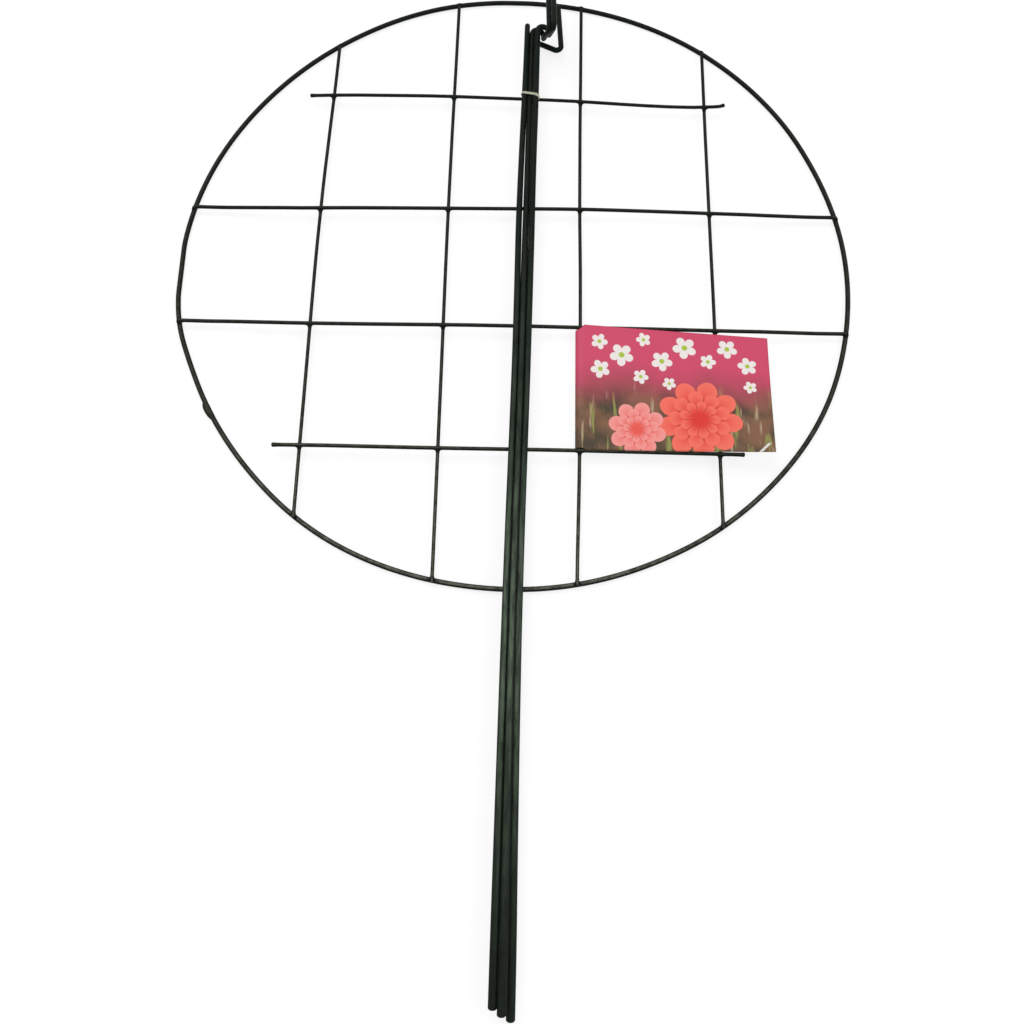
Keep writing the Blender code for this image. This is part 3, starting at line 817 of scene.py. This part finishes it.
def card_leaf(name, middle, over, under):
    """A closed sheet: the middle surface (rows, columns, 3) pushed half the card's thickness both ways.

    The finish over covers its upper face and its edges. Its UV map is the distance across the fold and up the
    far edge, in tenths of a metre.
    """
    d_col = np.gradient(middle, axis=1)
    d_row = np.gradient(middle, axis=0)
    push = np.cross(d_col, d_row)
    push /= np.linalg.norm(push, axis=2)[:, :, None]
    rows, columns = middle.shape[:2]
    count = rows * columns
    push *= CARD_T / 2
    points = np.vstack([(middle + push).reshape(-1, 3), (middle - push).reshape(-1, 3)])
    r = np.arange(rows - 1)[:, None]
    c = np.arange(columns - 1)[None, :]
    first = (r * columns + c).ravel()
    front = np.stack([first, first + 1, first + columns + 1, first + columns], axis=1)
    back = front[:, ::-1] + count
    rim = np.concatenate([np.arange(columns), np.arange(1, rows) * columns + columns - 1,
                          (rows - 1) * columns + np.arange(columns - 2, -1, -1),
                          np.arange(rows - 2, 0, -1) * columns])
    after = np.roll(rim, -1)
    edge = np.stack([rim, rim + count, after + count, after], axis=1)
    faces = np.vstack([front, back, edge])
    leaf = place(name, points, faces.tolist(), over)
    leaf.data.materials.append(under)
    slots = np.repeat(np.array([0, 1, 0], np.int32), (len(front), len(back), len(edge)))
    leaf.data.polygons.foreach_set("material_index", slots)
    flat = np.ones(len(faces), bool)
    flat[len(front) + len(back):] = False
    leaf.data.polygons.foreach_set("use_smooth", flat)
    spread = np.concatenate([[0.0], np.cumsum(np.linalg.norm(np.diff(middle[0], axis=0), axis=1))])
    rise = np.concatenate([[0.0], np.cumsum(np.linalg.norm(np.diff(middle[:, -1], axis=0), axis=1))])
    u, v = np.meshgrid(spread, rise)
    flat_place = np.stack([np.tile(u.ravel(), 2), np.tile(v.ravel(), 2)], axis=1) * 10.0
    layer = leaf.data.uv_layers.new(name="card_place")
    corner = np.empty(len(leaf.data.loops), np.int32)
    leaf.data.loops.foreach_get("vertex_index", corner)
    layer.data.foreach_set("uv", flat_place[corner].astype(np.float32).ravel())
    leaf.data.update()
    return leaf


# The front leaf: a quarter turn up and over the bar, as a quadratic Bezier curve, then the leaf's flat run.
# Next to the fold its top edge stays lower, so that the leaf clears the third cross bar when it turns.
rows = np.linspace(0.0, 1.0, 61)[:, None]
fold_t = np.linspace(0.0, 1.0, 15)
leaf_t = np.linspace(0.0, 1.0, 90)[1:]
leaf_start = FOLD_X + FRONT_BEND
fold_x = (1 - fold_t) ** 2 * FOLD_X + 2 * fold_t * (1 - fold_t) * FOLD_X + fold_t ** 2 * leaf_start
fold_z = (1 - fold_t) ** 2 * FOLD_Z + 2 * fold_t * (1 - fold_t) * FRONT_Z + fold_t ** 2 * FRONT_Z
column_x = np.concatenate([fold_x, leaf_start + (LEAF_RIGHT - leaf_start) * leaf_t])
column_z = np.concatenate([fold_z, FRONT_Z + SAG * leaf_t ** 2])
across = np.concatenate([0 * fold_t, leaf_t])
low_y = FOLD_BOTTOM - LOW_FALL * across ** 1.5
low_y = low_y - LOW_STEP * (1 - across) * np.clip((column_x - FOLD_X - 0.0040) / 0.0010, 0.0, 1.0)
high_y = np.interp(column_x,
                   [FOLD_X, FOLD_X + 0.0016, FOLD_X + 0.0034, leaf_start, LEAF_RIGHT],
                   [FOLD_TOP - 0.0001, FOLD_TOP + 0.0003, FOLD_TOP + 0.0015, LEAF_TOP + 0.0007,
                    LEAF_TOP - LEAF_FALL])
front_middle = np.stack(np.broadcast_arrays(column_x[None, :], low_y + (high_y - low_y) * rows,
                                            column_z + CURL * across ** 2 * (1 - rows) ** 1.5), axis=2)

# The back leaf: down past the bar in an eased corner, then flat under the grid.
back_start = FOLD_X + BACK_BEND
back_fold_x = np.interp(fold_t, [0, 0.3, 0.6, 1.0], [FOLD_X, FOLD_X, FOLD_X + 0.0003, back_start])
back_fold_z = np.interp(fold_t, [0, 0.3, 0.6, 1.0], [FOLD_Z, BACK_Z + 0.0017, BACK_Z + 0.0008, BACK_Z])
for _ in range(3):
    back_fold_x[1:-1] = (back_fold_x[:-2] + 2 * back_fold_x[1:-1] + back_fold_x[2:]) / 4
    back_fold_z[1:-1] = (back_fold_z[:-2] + 2 * back_fold_z[1:-1] + back_fold_z[2:]) / 4
back_x = np.concatenate([back_fold_x, back_start + (CARD_WIDTH - BACK_BEND) * leaf_t])
back_z = np.concatenate([back_fold_z, 0 * leaf_t + BACK_Z])
back_low = FOLD_BOTTOM + LOW_FALL * np.clip((back_x - FOLD_X) / CARD_WIDTH, 0.0, 1.0)
back_middle = np.stack(np.broadcast_arrays(back_x[None, :], back_low + (FOLD_TOP - back_low) * rows,
                                           back_z[None, :] + 0 * rows), axis=2)


class Wiring:
    """Short names for a material's maths nodes."""

    def __init__(self, finish):
        finish.use_nodes = True
        self.tree = finish.node_tree
        self.shader = self.tree.nodes["Principled BSDF"]

    def feed(self, socket, value):
        """Set a socket to a number, or link another node's output to it."""
        if isinstance(value, (int, float)):
            socket.default_value = value
        else:
            self.tree.links.new(value, socket)

    def sum(self, operation, a, b=0.0, c=0.0):
        """One step of arithmetic."""
        node = self.tree.nodes.new("ShaderNodeMath")
        node.operation = operation
        for socket, value in zip(node.inputs, (a, b, c)):
            self.feed(socket, value)
        return node.outputs[0]

    def step(self, value, low, high):
        """0 below low, 1 above high, smooth between; falling where low is above high."""
        node = self.tree.nodes.new("ShaderNodeMapRange")
        node.interpolation_type = "SMOOTHSTEP"
        self.feed(node.inputs["Value"], value)
        node.inputs["From Min"].default_value = low
        node.inputs["From Max"].default_value = high
        return node.outputs["Result"]

    def mix(self, share, under, over):
        """The colour under at share 0, the colour over at share 1."""
        node = self.tree.nodes.new("ShaderNodeMix")
        node.data_type = "RGBA"
        self.feed(node.inputs["Factor"], share)
        for socket, colour in ((node.inputs["A"], under), (node.inputs["B"], over)):
            if isinstance(colour, tuple):
                socket.default_value = (*colour, 1.0)
            else:
                self.tree.links.new(colour, socket)
        return node.outputs["Result"]


def around(w, u, v, at):
    """Distance and angle of each place on the card from a point."""
    dx = w.sum("SUBTRACT", u, at[0])
    dy = w.sum("SUBTRACT", v, at[1])
    away = w.sum("SQRT", w.sum("ADD", w.sum("MULTIPLY", dx, dx), w.sum("MULTIPLY", dy, dy)))
    return away, w.sum("ARCTAN2", dy, dx)


def blossom(w, u, v, under, at, size, petals, turn, heart, tip, rim):
    """A round flower of three rings of petals laid over a colour.

    Each ring's edge is its size * (0.72 + 0.28 * |cos(petals / 2 * angle + turn)| to the power 0.7).
    """
    away, angle = around(w, u, v, at)
    colour = under
    for ring, scale in enumerate((1.0, 0.74, 0.48)):
        wave = w.sum("COSINE", w.sum("MULTIPLY_ADD", angle, petals / 2.0, turn + ring * 1.3))
        swing = w.sum("ABSOLUTE", wave)
        edge = w.sum("MULTIPLY_ADD", w.sum("POWER", swing, 0.7), 0.28 * size * scale, 0.72 * size * scale)
        reach = w.sum("DIVIDE", away, edge)
        shade = w.mix(w.step(reach, 0.30, 1.0), heart, tip)
        shade = w.mix(w.step(swing, 0.0, 0.30), rim, shade)
        colour = w.mix(w.step(reach, 1.0, 0.965), colour, shade)
    return colour


def daisy(w, u, v, under, at, size, turn):
    """A small white flower with a yellow-green middle.

    Its edge is size * (0.45 + 0.55 * |cos(2.5 * angle + turn)| to the power 0.6).
    """
    away, angle = around(w, u, v, at)
    swing = w.sum("ABSOLUTE", w.sum("COSINE", w.sum("MULTIPLY_ADD", angle, 2.5, turn)))
    reach = w.sum("DIVIDE", away, w.sum("MULTIPLY_ADD", w.sum("POWER", swing, 0.6), 0.55 * size, 0.45 * size))
    colour = w.mix(w.step(reach, 1.0, 0.90), under, (0.88, 0.82, 0.80))
    return w.mix(w.step(away, 0.26 * size, 0.20 * size), colour, (0.42, 0.55, 0.06))


card_print = bpy.data.materials.new("printed_card")
w = Wiring(card_print)
place_uv = w.tree.nodes.new("ShaderNodeUVMap")
place_uv.uv_map = "card_place"
apart = w.tree.nodes.new("ShaderNodeSeparateXYZ")
w.tree.links.new(place_uv.outputs["UV"], apart.inputs["Vector"])
u, v = apart.outputs["X"], apart.outputs["Y"]


def grain(scale, detail, stretch=(1.0, 1.0), turn=0.0):
    """Noise over the card's own flat places, turned and stretched into strokes."""
    lay = w.tree.nodes.new("ShaderNodeMapping")
    lay.inputs["Rotation"].default_value = (0.0, 0.0, turn)
    lay.inputs["Scale"].default_value = (*stretch, 1.0)
    w.tree.links.new(place_uv.outputs["UV"], lay.inputs["Vector"])
    node = w.tree.nodes.new("ShaderNodeTexNoise")
    node.inputs["Scale"].default_value = scale
    node.inputs["Detail"].default_value = detail
    w.tree.links.new(lay.outputs["Vector"], node.inputs["Vector"])
    return node.outputs["Fac"]


# The print: blurred soil and stalks below, running out upwards into plain magenta, with two large flowers and
# twelve small ones over it. Places and sizes on the card are in tenths of a metre.
SOIL, EARTH = (0.060, 0.048, 0.026), (0.230, 0.110, 0.062)
STALK, STRAW = (0.270, 0.270, 0.075), (0.420, 0.300, 0.190)
DUSK, MAGENTA = (0.420, 0.066, 0.100), (0.640, 0.070, 0.145)
FLAME, CORAL, EMBER = (0.760, 0.040, 0.030), (0.930, 0.170, 0.120), (0.540, 0.028, 0.026)
ROSE, BLUSH, BERRY = (0.860, 0.110, 0.085), (0.930, 0.330, 0.310), (0.640, 0.055, 0.052)
DAISIES = (((0.155, 0.66), 0.052, 0.2), ((0.285, 0.585), 0.074, 0.9), ((0.415, 0.69), 0.046, 1.5),
           ((0.520, 0.56), 0.066, 0.5), ((0.655, 0.655), 0.074, 1.1), ((0.790, 0.575), 0.050, 0.1),
           ((0.905, 0.665), 0.064, 0.7), ((1.020, 0.560), 0.060, 1.8), ((0.160, 0.49), 0.060, 1.2),
           ((0.395, 0.455), 0.048, 0.3), ((0.560, 0.42), 0.042, 0.9), ((1.030, 0.42), 0.042, 1.4))
picture = w.mix(w.step(grain(5.0, 5.0), 0.36, 0.62), SOIL, EARTH)
picture = w.mix(w.step(grain(7.0, 3.0, (3.2, 0.5), 0.35), 0.56, 0.66), picture, STALK)
picture = w.mix(w.step(grain(8.0, 3.0, (3.4, 0.5), -0.45), 0.60, 0.70), picture, STRAW)
hazy = w.sum("MULTIPLY_ADD", grain(3.5, 4.0), 0.22, w.sum("SUBTRACT", v, 0.11))
picture = w.mix(w.step(hazy, 0.24, 0.44), picture, DUSK)
picture = w.mix(w.step(hazy, 0.36, 0.56), picture, MAGENTA)
picture = blossom(w, u, v, picture, (0.73, 0.20), 0.25, 9, 0.4, FLAME, CORAL, EMBER)
picture = blossom(w, u, v, picture, (0.37, 0.13), 0.17, 8, 1.0, ROSE, BLUSH, BERRY)
for at, size, start in DAISIES:
    picture = daisy(w, u, v, picture, at, size, start)

# A crease runs up to the free lower corner. The pale line along it is a painted highlight where the curled
# corner catches the light.
crease = w.sum("ABSOLUTE", w.sum("MULTIPLY_ADD", u, 0.72, w.sum("MULTIPLY_ADD", v, -0.70, -0.766)))
corner_only = w.sum("MULTIPLY", w.step(v, 0.062, 0.05), w.step(u, 1.035, 1.05))
crease_highlight = w.sum("MULTIPLY", w.step(crease, 0.009, 0.004), corner_only)
picture = w.mix(crease_highlight, picture, (0.80, 0.78, 0.74))
w.tree.links.new(picture, w.shader.inputs["Base Color"])
w.shader.inputs["Roughness"].default_value = 0.45
w.shader.inputs["Specular IOR Level"].default_value = 0.20

card_plain = bpy.data.materials.new("plain_card")
w = Wiring(card_plain)
fibre_place = w.tree.nodes.new("ShaderNodeTexCoord")
fibre = w.tree.nodes.new("ShaderNodeTexNoise")
fibre.inputs["Scale"].default_value = 700.0
fibre.inputs["Detail"].default_value = 4.0
w.tree.links.new(fibre_place.outputs["Object"], fibre.inputs["Vector"])
board = w.mix(fibre.outputs["Fac"], (0.80, 0.79, 0.76), (0.90, 0.89, 0.87))
w.tree.links.new(board, w.shader.inputs["Base Color"])
w.shader.inputs["Roughness"].default_value = 0.7

back_leaf = card_leaf("card_back_leaf", back_middle, card_plain, card_plain)
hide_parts("card_back")
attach(back_leaf, "grid")
front_leaf = card_leaf("card_front_leaf", front_middle, card_print, card_plain)
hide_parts("card_front")
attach(front_leaf, "card_flap")


# Floor and light: a white sweep under two broad soft lamps, with a white surround. Seen straight on or in a
# reflection the floor and the surround are near white; otherwise they light the object at a plain level.
FLOOR_Z = -0.0002
SEEN_WHITE = 0.72
floor_white = bpy.data.materials.new("floor_white")
w = Wiring(floor_white)
w.shader.inputs["Base Color"].default_value = (0.90, 0.90, 0.90, 1.0)
w.shader.inputs["Roughness"].default_value = 0.9
glow = w.tree.nodes.new("ShaderNodeEmission")
glow.inputs["Color"].default_value = (1.0, 1.0, 1.0, 1.0)
glow.inputs["Strength"].default_value = 1.10
seen = w.tree.nodes.new("ShaderNodeLightPath")
blend_white = w.tree.nodes.new("ShaderNodeMixShader")
bounced = w.sum("MAXIMUM", seen.outputs["Is Glossy Ray"], seen.outputs["Is Transmission Ray"])
rays = w.sum("MAXIMUM", seen.outputs["Is Camera Ray"], bounced)
w.tree.links.new(w.sum("MULTIPLY", rays, SEEN_WHITE), blend_white.inputs["Fac"])
w.tree.links.new(w.shader.outputs["BSDF"], blend_white.inputs[1])
w.tree.links.new(glow.outputs["Emission"], blend_white.inputs[2])
w.tree.links.new(blend_white.outputs["Shader"], w.tree.nodes["Material Output"].inputs["Surface"])
floor_mesh = bpy.data.meshes.new("floor")
corners = [(-6, -6, FLOOR_Z), (6, -6, FLOOR_Z), (6, 6, FLOOR_Z), (-6, 6, FLOOR_Z)]
floor_mesh.from_pydata(corners, [], [(0, 1, 2, 3)])
floor_mesh.materials.append(floor_white)
floor = bpy.data.objects.new("floor", floor_mesh)
bpy.context.scene.collection.objects.link(floor)

world = bpy.data.worlds.new("white_surround")
bpy.context.scene.world = world
world.use_nodes = True
sky = world.node_tree.nodes["Background"]
sky.inputs["Color"].default_value = (1.0, 1.0, 1.0, 1.0)
sky_seen = world.node_tree.nodes.new("ShaderNodeLightPath")
sky_mix = world.node_tree.nodes.new("ShaderNodeMapRange")
sky_mix.inputs["To Min"].default_value = 0.55
sky_mix.inputs["To Max"].default_value = 1.0
sky_rays = sky_seen.outputs["Is Camera Ray"]
for kind in ("Is Glossy Ray", "Is Transmission Ray"):
    either = world.node_tree.nodes.new("ShaderNodeMath")
    either.operation = "MAXIMUM"
    world.node_tree.links.new(sky_rays, either.inputs[0])
    world.node_tree.links.new(sky_seen.outputs[kind], either.inputs[1])
    sky_rays = either.outputs[0]
world.node_tree.links.new(sky_rays, sky_mix.inputs["Value"])
world.node_tree.links.new(sky_mix.outputs["Result"], sky.inputs["Strength"])


def lamp(name, at, aim, size, watts):
    """A square soft lamp facing a point."""
    data = bpy.data.lights.new(name, "AREA")
    data.size = size
    data.energy = watts
    back = np.array(at, float) - np.array(aim, float)
    back /= np.linalg.norm(back)
    right = np.cross((0.0, 1.0, 0.1), back)
    right /= np.linalg.norm(right)
    pose = np.eye(4)
    pose[:3, :3] = np.stack([right, np.cross(back, right), back], axis=1)
    pose[:3, 3] = at
    item = bpy.data.objects.new(name, data)
    item.matrix_world = Matrix(pose.tolist())
    bpy.context.scene.collection.objects.link(item)


lamp("broad_top_lamp", (-0.5, 0.9, 1.7), (0.0, 0.0, 0.0), 1.2, 14.0)
lamp("side_fill_lamp", (1.1, -0.5, 1.3), (0.0, 0.0, 0.0), 0.9, 5.0)

bpy.context.scene.view_settings.view_transform = "Standard"
